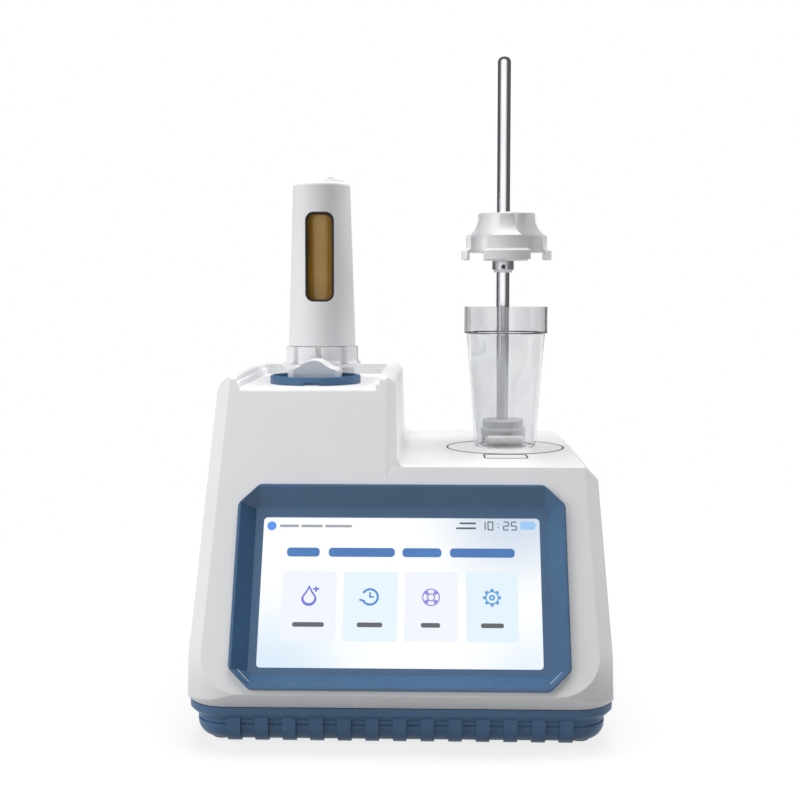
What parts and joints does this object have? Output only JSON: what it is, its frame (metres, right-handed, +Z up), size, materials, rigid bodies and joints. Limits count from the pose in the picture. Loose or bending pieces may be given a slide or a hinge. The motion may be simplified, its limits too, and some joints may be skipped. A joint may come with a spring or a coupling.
{
  "type": "automatic titrator",
  "caption": "Bench titrator with sloping touch screen, motor burette on a stepped tower, and a stirred beaker under a height-adjustable head on a steel rod.",
  "frame": {"origin": "on the bench, under the middle of the body", "axes": "+X to the operator's right, +Y to the back of the machine, +Z up"},
  "size_m": [0.233, 0.257, 0.3977],
  "materials": {
    "tray_blue": "fine-textured moulded ABS, slate blue",
    "bezel_blue": "satin moulded ABS, slate blue",
    "housing_white": "satin white moulded ABS",
    "cover_white": "matt white moulded plastic",
    "head_white": "white moulded POM",
    "valve_white": "white machined PTFE",
    "foot_white": "white powder coat",
    "rubber_dark": "matt moulded rubber",
    "screw_steel": "plain steel",
    "rod_steel": "polished stainless steel",
    "bush_steel": "turned stainless steel",
    "screen_glass": "clear touch glass over a lit display",
    "display_metal": "pressed steel back",
    "beaker_clear": "clear moulded plastic",
    "amber_glass": "amber borosilicate glass",
    "stir_white": "PTFE coating",
    "valve_ceramic": "lapped ceramic",
    "frame_aluminium": "milled",
    "panel_aluminium": "brushed and anodised sheet",
    "motor_black": "black painted steel",
    "holder_grey": "moulded nylon",
    "magnet_nickel": "nickel plate",
    "board_green": "solder mask on glass epoxy",
    "socket_black": "black moulded plastic",
    "socket_nickel": "nickel plated brass"
  },
  "bodies": {
    "machine": {"base_tray": "tray_blue", "upper_housing": "housing_white", "rubber_feet": "rubber_dark", "housing_screws": "screw_steel", "screen_bezel": "bezel_blue", "touch_glass": "screen_glass", "display_module": "display_metal", "rod_foot": "foot_white", "stand_rod": "rod_steel", "burette_dish": "tray_blue", "drive_frame": "frame_aluminium", "top_plate": "frame_aluminium", "guide_rods": "rod_steel", "stepper_motor": "motor_black", "stirrer_bracket": "frame_aluminium", "stirrer_motor": "motor_black", "main_board": "board_green", "power_supply": "frame_aluminium", "rear_panel": "panel_aluminium", "panel_screws": "screw_steel", "power_inlet": "socket_black", "switch_frame": "socket_black", "electrode_sockets": "socket_nickel", "data_sockets": "socket_nickel"},
    "burette": {"valve_block": "valve_white", "burette_foot": "rubber_dark", "burette_flange": "head_white", "burette_cover": "cover_white", "burette_barrel": "amber_glass", "burette_cap": "head_white"},
    "collar": {"clamp_collar": "head_white"},
    "piston": {"piston": "stir_white", "piston_seal": "rubber_dark", "piston_rod": "bush_steel"},
    "valve": {"valve_core": "valve_ceramic"},
    "vent_cap": {"cap_knob": "head_white"},
    "screw": {"lead_screw": "bush_steel"},
    "pusher": {"pusher": "frame_aluminium"},
    "bush": {"head_bush": "bush_steel", "bush_screw": "screw_steel"},
    "head": {"titration_head": "head_white"},
    "beaker": {"beaker": "beaker_clear"},
    "stir_bar": {"stir_bar": "stir_white"},
    "magnet_drive": {"magnet_holder": "holder_grey", "drive_magnets": "magnet_nickel"},
    "switch": {"switch_rocker": "socket_black"}
  },
  "joints": [
    {"name": "burette_lift", "type": "slide", "parent": "machine", "child": "burette", "axis": [0, 0, 1], "range_m": [0, 0.12]},
    {"name": "collar_turn", "type": "hinge", "parent": "burette", "child": "collar", "pos_m": [-0.05465, 0.042, 0.1988], "axis": [0, 0, 1], "range_deg": [0, 80]},
    {"name": "valve_turn", "type": "hinge", "parent": "burette", "child": "valve", "pos_m": [-0.05465, 0.002, 0.1956], "axis": [0, 0, 1], "range_deg": [0, 90]},
    {"name": "vent_cap_turn", "type": "hinge", "parent": "burette", "child": "vent_cap", "pos_m": [-0.05005, 0.042, 0.3144], "axis": [0, 0, 1], "range_deg": [0, 180]},
    {"name": "screw_turn", "type": "hinge", "parent": "machine", "child": "screw", "pos_m": [-0.05465, 0.066, 0.092], "axis": [0, 0, 1], "range_deg": [0, 7236]},
    {"name": "pusher_lift", "type": "slide", "parent": "machine", "child": "pusher", "axis": [0, 0, 1], "range_m": [0, 0.04]},
    {"name": "piston_stroke", "type": "slide", "parent": "burette", "child": "piston", "axis": [0, 0, 1], "range_m": [0, 0.0402]},
    {"name": "head_lift", "type": "slide", "parent": "machine", "child": "bush", "axis": [0, 0, 1], "range_m": [-0.0338, 0.1]},
    {"name": "head_swing", "type": "hinge", "parent": "bush", "child": "head", "pos_m": [0.0634, 0.066, 0.2648], "axis": [0, 0, 1], "range_deg": [0, 120]},
    {"name": "beaker_slide", "type": "slide", "parent": "machine", "child": "beaker", "axis": [0, -1, 0], "range_m": [0, 0.18]},
    {"name": "magnet_spin", "type": "hinge", "parent": "machine", "child": "magnet_drive", "pos_m": [0.0634, 0.027, 0.1262], "axis": [0, 0, 1], "continuous": true},
    {"name": "stir_spin", "type": "hinge", "parent": "beaker", "child": "stir_bar", "pos_m": [0.0634, 0.027, 0.1498], "axis": [0, 0, 1], "continuous": true},
    {"name": "switch_rock", "type": "hinge", "parent": "machine", "child": "switch", "pos_m": [0.022, 0.1182, 0.0582], "axis": [1, 0, 0], "range_deg": [0, 18]}
  ],
  "couplings": [
    {"joint": "screw_turn", "follows": "pusher_lift", "rad_per_m": 3141.6},
    {"joint": "piston_stroke", "follows": "pusher_lift", "ratio": 1},
    {"joint": "stir_spin", "follows": "magnet_spin", "ratio": 1}
  ]
}
